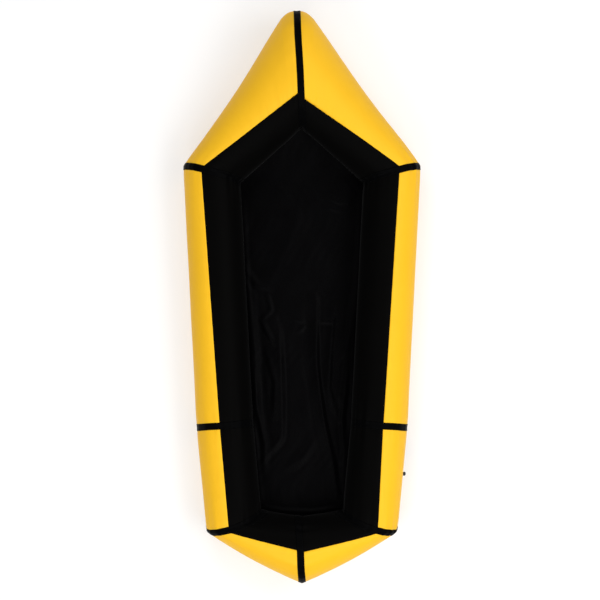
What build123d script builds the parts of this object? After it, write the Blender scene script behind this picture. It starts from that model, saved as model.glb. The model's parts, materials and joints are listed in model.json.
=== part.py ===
from build123d import *
import math
import os
from collections import namedtuple

# Packraft, an open inflatable one-person kayak.
# Frame: +Y to the bow, +X to starboard, +Z up. The origin is on the floor's underside,
# on the centre line, midway between the bow tip and the stern tip. Millimetres.
#
# The air tube is a closed ring of eight straight lengths joined at mitred seams. Each length
# has an outer and an inner skin, which meet along the top and along the underside.

# ---- Hull plan ----
HULL_LENGTH = 2300.0
BEAM_FRONT = 956.0            # over the tube at the front corners
BEAM_MID = 848.0              # over the tube at the middle seams
BEAM_STERN = 770.0            # over the tube at the stern corners
BOW_RUN = 621.0               # fore-and-aft, bow tip to front corners
STERN_RUN = 212.0             # fore-and-aft, stern tip to stern corners
QUARTER_RUN = 416.0           # fore-and-aft, stern corners to middle seams
BOW_TIP_CUT = 60.0            # how far the rounded bow stops short of a sharp point
BOW_TIP_HALF_WIDTH = 68.0     # half-width at which the rounding begins
STERN_SEAM_TURN = 14.0        # degrees that the stern corner seams turn outboard of the bisector

# ---- Tube ----
TUBE_DIAMETER = 228.0
BOW_TUBE_DIAMETER = 306.0
STERN_TUBE_DIAMETER = 238.0
BOW_RISE = 70.0               # underside of the tube above the floor line at the bow
STERN_RISE = 25.0

# ---- Fabric ----
SKIN = 0.5                    # coated tube fabric
TAPE_WIDTH = 28.0             # tape over each mitred seam
TAPE_THICK = 0.5
FLOOR_THICK = 1.2             # heavier floor fabric and its weld band
BAND_LAP = 18.0               # how far the floor's weld band laps past the lengthwise seam
STRIP_WIDTH = 24.0            # strip welded inside the tube over each lengthwise seam
STRIP_THICK = 0.5
GLUE_LINE = 0.05              # between two layers of fabric

# Where the outer and inner skins meet, as a share of the tube's half-width outboard of its
# middle. It is the colour line seen from above.
SEAM_SHARE = {"bow": -0.45, "front": 0.27, "mid": 0.165, "corner": 0.26, "stern": 0.05}

# ---- Main valve, a screw-in one-way valve on the starboard quarter ----
RUNNING_GAP = 0.1             # radial clearance of threads, stems and plugs
MAIN_FROM_MID_SEAM = 90.0
MAIN_DROP = 40.0              # degrees below the tube's widest line
FLANGE_THICK = 1.2
MAIN_FLANGE_LAP = 13.0        # the welded flange, from the neck to its rim
NECK_RADIUS = 25.0
NECK_WALL = 4.5
NECK_HEIGHT = 5.0
NECK_DEPTH = 12.0
GASKET_THICK = 1.0
GASKET_SET_BACK = 0.6         # from the head's rim to the gasket's
INSERT_WALL = 4.4
WEB_THICK = 2.0
WEB_SET_BACK = 2.0            # the insert's end stops this far inside the neck's
HUB_RADIUS = 4.5
STEM_RADIUS = 2.0
SEAT_WIDTH = 3.0              # ring on which the flap seals
FLAP_LAP = 2.0                # how far the flap covers that ring
SPOKE_WIDTH = 4.0
SPOKE_COUNT = 4
FLAP_THICK = 0.8
FLAP_LIFT = 1.5
FLAP_BULB_RADIUS = 3.0
FLAP_BULB_THICK = 1.5
LIP_THICK = 1.0
GROOVE_WIDTH = 1.6
GROOVE_DEPTH = 1.6
HEAD_SET_BACK = 0.4           # from the neck's rim to the insert's and the cap's
CAP_SEAL_THICK = 0.8
CAP_SEAL_WIDTH = 5.5
CAP_SEAL_GAP = 0.5            # from the insert's bore to the seal
PLUG_WALL = 2.0
PLUG_LENGTH = 10.0
GRIP_LENGTH = 38.0
GRIP_WIDTH = 7.0
GRIP_HEIGHT = 6.0
TETHER_RING_WIDTH = 3.2
TETHER_GAP = 0.1              # all round, between a tether ring and its groove
TETHER_JOIN = 0.8             # how far the strap's ends run into the rings
TETHER_WIDTH = 7.0
TETHER_THICK = 1.2
TETHER_REACH = 9.0            # how far the strap's loop stands out from the rings
MAIN_THREAD_TRAVEL = 8.0
CAP_THREAD_TRAVEL = 6.0

# ---- Top-up valve, a twist-to-open mouth valve beside the main valve ----
TOPUP_FROM_MID_SEAM = 178.0
TOPUP_DROP = 33.0
TOPUP_FLANGE_LAP = 11.0
TOPUP_NECK_WALL = 2.0
TOPUP_NECK_HEIGHT = 8.0
TOPUP_NECK_DEPTH = 8.0
BARREL_RADIUS = 7.0
BARREL_WALL = 2.0
BARREL_TOP = 24.0
COLLAR_THICK = 2.0
TOPUP_SEAL_THICK = 0.6
SEAT_THICK = 3.0
PLUG_GAP = 0.6                # all round the plug, where the air passes
PLUG_LAP = 1.4                # how far the plug covers the seat round its hole
PLUG_DISC_THICK = 2.0
PLUG_HEAD_LIP = 1.2           # the plug's head and collar, out from its stem
PLUG_HEAD_THICK = 1.0
COLLAR_GAP = 1.0              # between the barrel's top and the plug's collar
GRIP_RING_LIP = 1.5           # out from the neck
GRIP_RING_HEIGHT = 9.4
GRIP_FLUTE_RADIUS = 1.5
GRIP_FLUTE_DEPTH = 0.6
GRIP_FLUTES = 12
NOZZLE_LENGTH = 12.0
NOZZLE_WALL = 0.9
NOZZLE_HUB_RADIUS = 4.0
NOZZLE_SPOKES = 3
NOZZLE_SPOKE_WIDTH = 2.0
TOPUP_LIFT = 3.0

# ---- Cutting ----
BEYOND = 2 * HULL_LENGTH      # cutting blocks reach past the whole boat
THROUGH = 2.0                 # how far a cut runs past the faces it opens
INTO = 0.5                    # how far spokes run into the rim and the hub they join

Ring = namedtuple("Ring", "centre half radius")


# ---- Rings: each is an upright ellipse across the tube ----

def flat(x, y):
    return Vector(x, y, 0)


def make_ring(outer, inner, diameter, rise):
    middle = (outer + inner) * 0.5
    height = FLOOR_THICK + rise + diameter / 2
    return Ring(Vector(middle.X, middle.Y, height), (outer - inner) * 0.5, diameter / 2)


def between(first, second, share):
    """The ring a share of the way along a straight length of tube."""
    return Ring(
        first.centre + (second.centre - first.centre) * share,
        first.half + (second.half - first.half) * share,
        first.radius + (second.radius - first.radius) * share,
    )


def grown(ring, by):
    scale = (ring.radius + by) / ring.radius
    return Ring(ring.centre, ring.half * scale, ring.radius + by)


def mitred(corner, before, after, diameter, turn=0.0):
    """A corner's outer and inner points. The seam bisects the outer edges, then turns outboard.

    It runs to the cockpit side even where the outline bends outwards at the corner.
    """
    to_before = (before - corner).normalized()
    to_after = (after - corner).normalized()
    seam = (to_before + to_after).normalized()
    if seam.dot(corner) > 0:
        seam = seam * -1
    seam = seam.rotate(Axis.Z, turn)
    across = abs(seam.cross(to_before).Z)
    return corner, corner + seam * (diameter / across)


def hull_rings():
    half_length = HULL_LENGTH / 2
    sharp_bow = flat(0, half_length + BOW_TIP_CUT)
    stern_tip = flat(0, -half_length)
    front = flat(BEAM_FRONT / 2, half_length - BOW_RUN)
    corner = flat(BEAM_STERN / 2, -half_length + STERN_RUN)
    mid = flat(BEAM_MID / 2, corner.Y + QUARTER_RUN)

    bow_edge = (front - sharp_bow).normalized()
    stern_edge = (corner - stern_tip).normalized()
    bow_inner = sharp_bow - flat(0, BOW_TUBE_DIAMETER / abs(bow_edge.X))
    stern_inner = stern_tip + flat(0, STERN_TUBE_DIAMETER / abs(stern_edge.X))

    front_ring = make_ring(*mitred(front, sharp_bow, mid, TUBE_DIAMETER), TUBE_DIAMETER, 0)
    sharp_ring = make_ring(sharp_bow, bow_inner, BOW_TUBE_DIAMETER, BOW_RISE)
    shoulder = between(sharp_ring, front_ring, BOW_TIP_HALF_WIDTH / front.X)
    # The cut-back tip keeps its lowest point on the sloping plane of the bow's floor.
    slope = BOW_RISE / (sharp_ring.centre.Y - front_ring.centre.Y)
    tip_rise = BOW_RISE - slope * BOW_TIP_CUT / 2
    return {
        "bow": make_ring(flat(0, half_length), bow_inner, BOW_TUBE_DIAMETER, tip_rise),
        "shoulder": shoulder,
        "front": front_ring,
        "mid": make_ring(*mitred(mid, front, corner, TUBE_DIAMETER), TUBE_DIAMETER, 0),
        "corner": make_ring(
            *mitred(corner, mid, stern_tip, TUBE_DIAMETER, STERN_SEAM_TURN), TUBE_DIAMETER, 0),
        "stern": make_ring(stern_tip, stern_inner, STERN_TUBE_DIAMETER, STERN_RISE),
    }


RINGS = hull_rings()
LENGTHS = {
    "bow": ("bow", "shoulder", "front"),
    "side": ("front", "mid"),
    "quarter": ("mid", "corner"),
    "stern": ("corner", "stern"),
}


def seam_point(name):
    ring = RINGS[name]
    point = ring.centre + ring.half * SEAM_SHARE[name]
    return flat(point.X, point.Y)


def ring_plane(ring):
    across = ring.half.normalized()
    return Plane(origin=ring.centre, x_dir=across, z_dir=across.cross(Vector(0, 0, 1)))


# ---- Tube solids ----

def tube(length, by=0.0):
    """A filled straight length of tube, its surface moved out by a distance."""
    wires = []
    for name in LENGTHS[length]:
        ring = grown(RINGS[name], by)
        ellipse = Edge.make_ellipse(ring.half.length, ring.radius, plane=ring_plane(ring))
        wires.append(Wire([ellipse]))
    return Solid.make_loft(wires, ruled=True)


def layer(length, inside, outside):
    """A skin of fabric that follows the tube between two distances from its surface."""
    return tube(length, outside) - tube(length, inside)


def upright_block(start, end, near, far, low=-BEYOND, high=BEYOND):
    """A block along a plan line, from one distance outboard of it to another."""
    along = (end - start).normalized()
    outboard = along.cross(Vector(0, 0, 1))
    if outboard.dot(start + end) < 0:
        outboard = outboard * -1
    middle = (start + end) * 0.5 + outboard * ((near + far) / 2)
    plane = Plane(origin=middle, x_dir=along, z_dir=Vector(0, 0, 1))
    block = Box(BEYOND, far - near, high - low)
    return plane.location * Location((0, 0, (high + low) / 2)) * block


def seam_line(length):
    stations = LENGTHS[length]
    return seam_point(stations[0]), seam_point(stations[-1])


def skins(length):
    wall = layer(length, -SKIN, 0)
    start, end = seam_line(length)
    outer = wall & upright_block(start, end, 0, BEYOND)
    inner = wall & upright_block(start, end, -BEYOND, 0)
    return outer, inner


def tube_middle_height(length):
    heights = [RINGS[name].centre.Z for name in LENGTHS[length]]
    return min(heights)


def seam_strips(length):
    """The strips welded inside the tube, over its top seam and over its bottom seam."""
    against_skin = -SKIN - GLUE_LINE
    liner = layer(length, against_skin - STRIP_THICK, against_skin)
    start, end = seam_line(length)
    level = tube_middle_height(length)
    top = liner & upright_block(start, end, -STRIP_WIDTH / 2, STRIP_WIDTH / 2, low=level)
    bottom = liner & upright_block(start, end, -STRIP_WIDTH / 2, STRIP_WIDTH / 2, high=level)
    return top, bottom


def seam_tape(station, lengths):
    """Tape round the tube over a mitred seam, half its width on each length."""
    plane = ring_plane(RINGS[station])
    slab = plane.location * Box(BEYOND, BEYOND, TAPE_WIDTH)
    tape = None
    for length in lengths:
        piece = layer(length, GLUE_LINE, GLUE_LINE + TAPE_THICK) & slab
        tape = piece if tape is None else tape + piece
    return tape


def floor_band(length, tapes):
    """The floor's weld band under the tube, from its lowest line to past the bottom seam."""
    cover = layer(length, GLUE_LINE, FLOOR_THICK)
    stations = LENGTHS[length]
    low_start = RINGS[stations[0]].centre
    low_end = RINGS[stations[-1]].centre
    below = tube_middle_height(length)
    inboard = upright_block(flat(low_start.X, low_start.Y), flat(low_end.X, low_end.Y), 0, BEYOND,
                            high=below)
    start, end = seam_line(length)
    outboard = upright_block(start, end, -BEYOND, BAND_LAP, high=below)
    band = cover & inboard & outboard
    for tape in tapes:
        band = band - tape
    return band


# ---- Floor ----

def low_point(name, side=1):
    ring = RINGS[name]
    return Vector(ring.centre.X * side, ring.centre.Y, ring.centre.Z - ring.radius)


def tip_points(corner, tip):
    """A point near the tip on each side's lowest line, half a tape's width off the centre."""
    along = low_point(corner) - low_point(tip)
    point = low_point(tip) + along * (TAPE_WIDTH / 2 / along.X)
    return [Vector(-point.X, point.Y, point.Z), point]


def floor_sheet(points, tapes):
    """A flat sheet under the given top corners, of the floor's thickness."""
    outline = Wire.make_polygon(points, close=True)
    sheet = Solid.extrude(Face(outline), Vector(0, 0, -FLOOR_THICK))
    for tape in tapes:
        sheet = sheet - tape
    return sheet


def floor_panels(tapes):
    middle = [low_point(name) for name in ("front", "mid", "corner")]
    middle += [low_point(name, -1) for name in ("corner", "mid", "front")]
    bow = [low_point("front"), low_point("front", -1)] + tip_points("front", "bow")
    stern = [low_point("corner"), low_point("corner", -1)] + tip_points("corner", "stern")
    return {
        "floor_panel": floor_sheet(middle, tapes),
        "floor_bow_panel": floor_sheet(bow, tapes),
        "floor_stern_panel": floor_sheet(stern, tapes),
    }


# ---- Valve seats on the starboard quarter ----

def valve_plane(from_mid_seam, drop):
    """The plane on the tube's surface at a valve: its normal points out of the tube."""
    mid, corner = RINGS["mid"], RINGS["corner"]
    share = from_mid_seam / (corner.centre - mid.centre).length
    ring = between(mid, corner, share)
    angle = math.radians(-drop)

    def surface(which):
        up = Vector(0, 0, which.radius * math.sin(angle))
        return which.centre + which.half * math.cos(angle) + up

    along = (surface(corner) - surface(mid)).normalized()
    tangent = ring.half * -math.sin(angle) + Vector(0, 0, ring.radius * math.cos(angle))
    normal = along.cross(tangent).normalized()
    if normal.dot(ring.half) < 0:
        normal = normal * -1
    return Plane(origin=surface(ring), x_dir=along, z_dir=normal)


MAIN_PLANE = valve_plane(MAIN_FROM_MID_SEAM, MAIN_DROP)
TOPUP_PLANE = valve_plane(TOPUP_FROM_MID_SEAM, TOPUP_DROP)


def disc(radius, low, high, hole=0.0):
    """A disc or ring about the valve's axis, between two heights."""
    shape = Pos(0, 0, (low + high) / 2) * Cylinder(radius, high - low)
    if hole:
        shape = shape - Pos(0, 0, (low + high) / 2) * Cylinder(hole, high - low + THROUGH)
    return shape


def curved_flange(plane, radius):
    """The weld-on flange, which follows the tube."""
    cookie = plane.location * Cylinder(radius, radius)
    return (cookie & tube("quarter", FLANGE_THICK)) - tube("quarter", GLUE_LINE)


def moulded_base(plane, flange_lap, neck_radius, bore, height, depth):
    neck = plane.location * disc(neck_radius, -depth, height)
    base = curved_flange(plane, neck_radius + flange_lap) + neck
    return base - plane.location * disc(bore, -depth - THROUGH, height + THROUGH)


def spokes(count, inner, outer, width, low, high):
    """Straight spokes between two radii."""
    span = outer - inner + 2 * INTO
    bar = Pos((inner + outer) / 2, 0, (low + high) / 2) * Box(span, width, high - low)
    wheel = None
    for turn in range(count):
        spoke = Rot(0, 0, 360 / count * turn) * bar
        wheel = spoke if wheel is None else wheel + spoke
    return wheel & disc(outer + INTO, low, high)


# ---- Main valve ----

BORE = NECK_RADIUS - NECK_WALL
HEAD_RADIUS = NECK_RADIUS - HEAD_SET_BACK
INSERT_RADIUS = BORE - RUNNING_GAP
INSERT_BORE = INSERT_RADIUS - INSERT_WALL
INSERT_END = -NECK_DEPTH + WEB_SET_BACK
HEAD_BOTTOM = NECK_HEIGHT + GASKET_THICK
HEAD_TOP = HEAD_BOTTOM + 2 * LIP_THICK + GROOVE_WIDTH
CAP_BOTTOM = HEAD_TOP + CAP_SEAL_THICK
CAP_TOP = CAP_BOTTOM + 2 * LIP_THICK + GROOVE_WIDTH


def grooved_disc(radius, low):
    """A disc whose rim has a groove for a tether ring."""
    groove_low = low + LIP_THICK
    groove_high = groove_low + GROOVE_WIDTH
    shape = disc(radius, low, groove_high + LIP_THICK)
    return shape - disc(radius + THROUGH, groove_low, groove_high, radius - GROOVE_DEPTH)


def main_insert():
    shape = grooved_disc(HEAD_RADIUS, HEAD_BOTTOM) + disc(INSERT_RADIUS, INSERT_END, HEAD_BOTTOM)
    web_top = INSERT_END + WEB_THICK
    shape = shape - disc(INSERT_BORE, web_top, HEAD_TOP + THROUGH)
    seat_inner = INSERT_BORE - SEAT_WIDTH
    shape = shape - disc(seat_inner, INSERT_END - THROUGH, web_top + THROUGH)
    hub = disc(HUB_RADIUS, INSERT_END, web_top)
    arms = spokes(SPOKE_COUNT, HUB_RADIUS, seat_inner, SPOKE_WIDTH, INSERT_END, web_top)
    shape = shape + hub + arms
    return shape - disc(STEM_RADIUS + RUNNING_GAP, INSERT_END - THROUGH, web_top + THROUGH)


def main_flap():
    flap_radius = INSERT_BORE - SEAT_WIDTH + FLAP_LAP
    hub_top = INSERT_END + WEB_THICK
    bulb_low = hub_top + FLAP_LIFT
    flap = disc(flap_radius, INSERT_END - FLAP_THICK, INSERT_END)
    stem = disc(STEM_RADIUS, INSERT_END, bulb_low)
    bulb = disc(FLAP_BULB_RADIUS, bulb_low, bulb_low + FLAP_BULB_THICK)
    return flap + stem + bulb


def main_cap():
    plug_radius = INSERT_BORE - RUNNING_GAP
    plug = disc(plug_radius, CAP_BOTTOM - PLUG_LENGTH, CAP_BOTTOM, plug_radius - PLUG_WALL)
    bar = Pos(0, 0, CAP_TOP) * extrude(SlotOverall(GRIP_LENGTH, GRIP_WIDTH), GRIP_HEIGHT)
    return grooved_disc(HEAD_RADIUS, CAP_BOTTOM) + plug + bar


def tether_ring(disc_bottom):
    low = disc_bottom + LIP_THICK + TETHER_GAP
    high = disc_bottom + LIP_THICK + GROOVE_WIDTH - TETHER_GAP
    inner = HEAD_RADIUS - GROOVE_DEPTH + TETHER_GAP
    return disc(inner + TETHER_RING_WIDTH, low, high, inner)


def cap_tether():
    """Two rings joined by a strap that loops outwards."""
    ring_outer = HEAD_RADIUS - GROOVE_DEPTH + TETHER_GAP + TETHER_RING_WIDTH
    lower = HEAD_BOTTOM + LIP_THICK + GROOVE_WIDTH / 2
    upper = CAP_BOTTOM + LIP_THICK + GROOVE_WIDTH / 2
    start = ring_outer - TETHER_JOIN
    middle = (lower + upper) / 2
    outer = (upper - lower + TETHER_THICK) / 2
    inner = outer - TETHER_THICK
    loop = SlotOverall(2 * (TETHER_REACH + outer), 2 * outer)
    hole = SlotOverall(2 * (TETHER_REACH + inner), 2 * inner)
    outboard = Pos(start + TETHER_REACH, middle) * Rectangle(2 * TETHER_REACH, 4 * outer)
    profile = (Pos(start, middle) * (loop - hole)) & outboard
    strap = extrude(Plane.XZ * profile, TETHER_WIDTH / 2, both=True)
    return tether_ring(HEAD_BOTTOM) + tether_ring(CAP_BOTTOM) + strap


def main_valve():
    seal_inner = INSERT_BORE + CAP_SEAL_GAP
    local = {
        "valve_insert": main_insert(),
        "insert_gasket": disc(HEAD_RADIUS - GASKET_SET_BACK, NECK_HEIGHT, HEAD_BOTTOM, BORE),
        "valve_flap": main_flap(),
        "cap_seal": disc(seal_inner + CAP_SEAL_WIDTH, HEAD_TOP, CAP_BOTTOM, seal_inner),
        "valve_cap": main_cap(),
        "cap_tether": cap_tether(),
    }
    placed = {name: MAIN_PLANE.location * shape for name, shape in local.items()}
    placed["valve_base"] = moulded_base(
        MAIN_PLANE, MAIN_FLANGE_LAP, NECK_RADIUS, BORE, NECK_HEIGHT, NECK_DEPTH)
    return placed


# ---- Top-up valve ----

BARREL_BORE = BARREL_RADIUS - BARREL_WALL
TOPUP_NECK_RADIUS = BARREL_RADIUS + TOPUP_NECK_WALL
PLUG_DISC_RADIUS = BARREL_BORE - PLUG_GAP
SEAT_HOLE_RADIUS = PLUG_DISC_RADIUS - PLUG_LAP
PLUG_HEAD_RADIUS = STEM_RADIUS + PLUG_HEAD_LIP
GRIP_RING_RADIUS = TOPUP_NECK_RADIUS + GRIP_RING_LIP
NOZZLE_BORE = BARREL_RADIUS + RUNNING_GAP
NOZZLE_RADIUS = NOZZLE_BORE + NOZZLE_WALL
COLLAR_TOP = TOPUP_NECK_HEIGHT + COLLAR_THICK
MOUTH_BOTTOM = COLLAR_TOP + TOPUP_SEAL_THICK
GRIP_TOP = MOUTH_BOTTOM + GRIP_RING_HEIGHT
MOUTH_TOP = GRIP_TOP + NOZZLE_LENGTH
MOUTH_HUB_LOW = BARREL_TOP + COLLAR_GAP + PLUG_HEAD_THICK
MOUTH_HUB_HIGH = MOUTH_HUB_LOW + WEB_THICK


def topup_barrel():
    shape = disc(BARREL_RADIUS, -TOPUP_NECK_DEPTH, BARREL_TOP)
    shape = shape + disc(TOPUP_NECK_RADIUS, TOPUP_NECK_HEIGHT, COLLAR_TOP)
    seat_top = -TOPUP_NECK_DEPTH + SEAT_THICK
    shape = shape - disc(BARREL_BORE, seat_top, BARREL_TOP + THROUGH)
    return shape - disc(SEAT_HOLE_RADIUS, -TOPUP_NECK_DEPTH - THROUGH, seat_top + THROUGH)


def topup_plug():
    seat_top = -TOPUP_NECK_DEPTH + SEAT_THICK
    stopper = disc(PLUG_DISC_RADIUS, seat_top, seat_top + PLUG_DISC_THICK)
    stem = disc(STEM_RADIUS, seat_top, MOUTH_HUB_HIGH)
    collar = disc(PLUG_HEAD_RADIUS, MOUTH_HUB_LOW - PLUG_HEAD_THICK, MOUTH_HUB_LOW)
    head = disc(PLUG_HEAD_RADIUS, MOUTH_HUB_HIGH, MOUTH_HUB_HIGH + PLUG_HEAD_THICK)
    return stopper + stem + collar + head


def topup_mouthpiece():
    grip = disc(GRIP_RING_RADIUS, MOUTH_BOTTOM, GRIP_TOP)
    flute_centre = GRIP_RING_RADIUS + GRIP_FLUTE_RADIUS - GRIP_FLUTE_DEPTH
    flute = Pos(flute_centre, 0, 0) * disc(
        GRIP_FLUTE_RADIUS, MOUTH_BOTTOM - THROUGH, GRIP_TOP + THROUGH)
    for turn in range(GRIP_FLUTES):
        grip = grip - Rot(0, 0, 360 / GRIP_FLUTES * turn) * flute
    shape = grip + disc(NOZZLE_RADIUS, GRIP_TOP, MOUTH_TOP)
    shape = shape - disc(NOZZLE_BORE, MOUTH_BOTTOM - THROUGH, MOUTH_TOP + THROUGH)
    hub = disc(NOZZLE_HUB_RADIUS, MOUTH_HUB_LOW, MOUTH_HUB_HIGH)
    arms = spokes(NOZZLE_SPOKES, NOZZLE_HUB_RADIUS, NOZZLE_BORE, NOZZLE_SPOKE_WIDTH,
                  MOUTH_HUB_LOW, MOUTH_HUB_HIGH)
    shape = shape + hub + arms
    return shape - disc(STEM_RADIUS + RUNNING_GAP, MOUTH_HUB_LOW - THROUGH, MOUTH_HUB_HIGH + THROUGH)


def topup_valve():
    local = {
        "topup_barrel": topup_barrel(),
        "topup_seal": disc(TOPUP_NECK_RADIUS, COLLAR_TOP, MOUTH_BOTTOM, BARREL_RADIUS),
        "topup_plug": topup_plug(),
        "topup_mouthpiece": topup_mouthpiece(),
    }
    placed = {name: TOPUP_PLANE.location * shape for name, shape in local.items()}
    placed["topup_base"] = moulded_base(
        TOPUP_PLANE, TOPUP_FLANGE_LAP, TOPUP_NECK_RADIUS, BARREL_RADIUS,
        TOPUP_NECK_HEIGHT, TOPUP_NECK_DEPTH)
    return placed


# ---- Whole boat ----

def to_port(shape):
    return mirror(shape, about=Plane.YZ)


def both_sides(name, shape):
    return {f"{name}_starboard": shape, f"{name}_port": to_port(shape)}


def seam_tapes():
    """Tapes at the six corner seams, and at the bow and the stern on the centre line."""
    tapes = {}
    for station, lengths in (("front", ("bow", "side")), ("mid", ("side", "quarter")),
                             ("corner", ("quarter", "stern"))):
        tapes.update(both_sides(f"tape_{station}", seam_tape(station, lengths)))
    for station in ("bow", "stern"):
        half = seam_tape(station, (station,))
        tapes[f"tape_{station}"] = half + to_port(half)
    return tapes


def whole_boat():
    nodes = seam_tapes()
    tapes = list(nodes.values())
    tops, bottoms = [], []
    for length in LENGTHS:
        outer, inner = skins(length)
        nodes[f"inner_skin_{length}_starboard"] = inner
        nodes[f"inner_skin_{length}_port"] = to_port(inner)
        nodes[f"outer_skin_{length}_port"] = to_port(outer)
        if length == "quarter":
            outer = outer - MAIN_PLANE.location * disc(NECK_RADIUS, -NECK_DEPTH, NECK_HEIGHT)
            outer = outer - TOPUP_PLANE.location * disc(
                TOPUP_NECK_RADIUS, -TOPUP_NECK_DEPTH, TOPUP_NECK_HEIGHT)
        nodes[f"outer_skin_{length}_starboard"] = outer
        nodes.update(both_sides(f"floor_band_{length}", floor_band(length, tapes)))
        top, bottom = seam_strips(length)
        tops += [top, to_port(top)]
        bottoms += [bottom, to_port(bottom)]
    nodes["top_seam_strips"] = tops
    nodes["bottom_seam_strips"] = bottoms
    nodes.update(floor_panels(tapes))
    nodes.update(main_valve())
    nodes.update(topup_valve())
    return nodes


def as_one(shape):
    """One shape to write: separate solids stay separate inside it."""
    shapes = shape if isinstance(shape, list) else [shape]
    solids = [solid for item in shapes for solid in item.solids()]
    return solids[0] if len(solids) == 1 else Compound(children=solids)


def main():
    os.makedirs("parts", exist_ok=True)
    for name, shape in whole_boat().items():
        export_step(as_one(shape), f"parts/{name}.step")


if __name__ == "__main__":
    main()
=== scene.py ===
import json
import math
import bpy
import numpy as np
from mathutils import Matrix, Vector

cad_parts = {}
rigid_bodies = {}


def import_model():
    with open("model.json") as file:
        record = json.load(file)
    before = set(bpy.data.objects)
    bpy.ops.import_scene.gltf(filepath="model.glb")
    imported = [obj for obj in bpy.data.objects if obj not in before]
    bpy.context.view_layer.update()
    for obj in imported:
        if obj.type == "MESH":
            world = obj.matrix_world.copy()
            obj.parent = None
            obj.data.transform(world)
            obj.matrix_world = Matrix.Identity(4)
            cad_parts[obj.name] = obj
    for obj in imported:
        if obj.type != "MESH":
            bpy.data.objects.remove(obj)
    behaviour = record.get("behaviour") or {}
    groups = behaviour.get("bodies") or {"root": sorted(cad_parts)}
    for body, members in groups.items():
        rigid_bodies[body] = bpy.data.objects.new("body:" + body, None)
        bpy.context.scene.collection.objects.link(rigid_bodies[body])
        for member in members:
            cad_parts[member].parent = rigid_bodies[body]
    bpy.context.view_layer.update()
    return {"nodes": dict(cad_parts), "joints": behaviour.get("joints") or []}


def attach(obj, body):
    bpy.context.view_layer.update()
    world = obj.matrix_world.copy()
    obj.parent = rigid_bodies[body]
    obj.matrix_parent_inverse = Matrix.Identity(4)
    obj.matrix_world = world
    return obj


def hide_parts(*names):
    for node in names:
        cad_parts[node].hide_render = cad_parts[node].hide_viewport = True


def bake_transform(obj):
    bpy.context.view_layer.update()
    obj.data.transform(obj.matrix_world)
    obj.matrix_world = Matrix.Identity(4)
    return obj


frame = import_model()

# An open inflatable packraft, blown up and standing on its floor. Metres, +Y to the bow,
# +X to starboard, +Z up, with the origin under the middle of the floor.
bpy.ops.object.select_all(action="DESELECT")


# ---- Yellow outer skins ----
# Each of the eight straight lengths of air tube is two panels of coated nylon, cut flat and
# welded edge to edge along the top and the underside. The outer panel is yellow. Its mitred
# ends are drawn in under the seam tape, so hard inflation leaves puckers beside them.
HULL_LENGTH = 2.3
BEAM_FRONT = 0.956
BEAM_MID = 0.848
BEAM_STERN = 0.770
BOW_RUN = 0.621
STERN_RUN = 0.212
QUARTER_RUN = 0.416
BOW_POINT_BEYOND = 0.060      # from the round nose to where the bow's edges would meet
NOSE_RADIUS = 0.078
BOW_HOLLOW = 0.009            # how far the bow's edges curve in between nose and front corner
STERN_SWELL = 0.012           # how far the stern's edges curve out between corner and tip
NOSE_DRIFT = 0.020            # how far the nose is pulled to port, from BOW_START forward
BOW_START = 0.63
STERN_SEAM_TURN = math.radians(14)
TUBE_RADIUS = 0.114
BOW_TUBE_RADIUS = 0.153
STERN_TUBE_RADIUS = 0.119
BOW_RISE = 0.070
STERN_RISE = 0.025
TUBE_UNDERSIDE = 0.0012
SKIN = 0.0005
WELD_LAP = 0.006              # the outer panel laps over the inner one along the long welds
SKIN_STEP = 0.0003            # each panel's surface, out or in from the tube's true surface
ROW = 0.008                   # mesh spacing along a tube
AROUND = 112                  # mesh steps round a whole tube
# The colour line at each length's two ends: its share of the way from the mitre's middle to its
# outboard end. The panels are cut and welded by hand, so the two sides aren't quite alike.
SEAM_SHARE = {"starboard": {"bow": (-0.435, 0.44), "side": (0.31, 0.20), "quarter": (0.19, 0.33),
                            "stern": (0.51, 0.094)},
              "port": {"bow": (-0.355, 0.457), "side": (0.42, 0.23), "quarter": (0.23, 0.23),
                       "stern": (0.41, 0.07)}}
ENDS = {"bow": ("bow", "front"), "side": ("front", "mid"), "quarter": ("mid", "corner"),
        "stern": ("corner", "stern")}
SIDES = {"starboard": 1, "port": -1}
PINCH = 0.0022                # how far the tube is drawn in at a mitred seam
PINCH_REACH = 0.030
TAPE_HOLDS = 0.3              # the share of a pucker's height that is left under the tape
HELD_REACH = 0.016            # from the seam to where a pucker has all of its height
PUCKERS = 7                   # waves added together at one seam
PUCKER_COUNTS = (11, 31)      # the fewest round the tube, and one more than the most
PUCKER_HEIGHT = 0.017         # of one pucker round the tube; n of them are an nth as high
PUCKER_REACH = 1.1            # the same for how far they run along it
WELD_VALLEY = 0.0011
WELD_VALLEY_WIDTH = 0.007
WELD_WAVES = (0.024, 0.037, 0.051, 0.083)  # wavelengths of the unevenness along a long weld
WELD_WAVE_HEIGHT = 0.008      # as a share of the wavelength
WELD_WAVE_REACH = 0.022       # how far it is felt to each side of the weld
SWELL_HEIGHT = 0.0003         # the panel's own slow swell along the tube
SWELL_LENGTH = 0.37
FLANGE_REACH = 0.045          # how far round a valve its flange holds the skin smooth
NECK_HOLES = {"insert_turn": 0.025, "topup_turn": 0.009}      # radii, by the valve's own joint
NECK_PUNCH = 0.06             # length of the punch that cuts them, across the skin
# How far the tube's top leans forward at each seam, and its underside back.
LEAN = {"bow": 0, "front": 0.010, "mid": 0, "corner": -0.028, "stern": 0}


def unit(vector):
    return vector / np.linalg.norm(vector)


def seam_inner(corner, before, after, turn=0.0):
    """Where a corner's mitred seam, seen from above, leaves the tube on the cockpit side."""
    edge = unit(before - corner)
    way = unit(edge + unit(after - corner))
    cos, sin = math.cos(turn), math.sin(turn)
    way = np.array([way[0] * cos - way[1] * sin, way[0] * sin + way[1] * cos])
    across = abs(way[0] * edge[1] - way[1] * edge[0])
    return corner + way * 2 * TUBE_RADIUS / across


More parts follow.
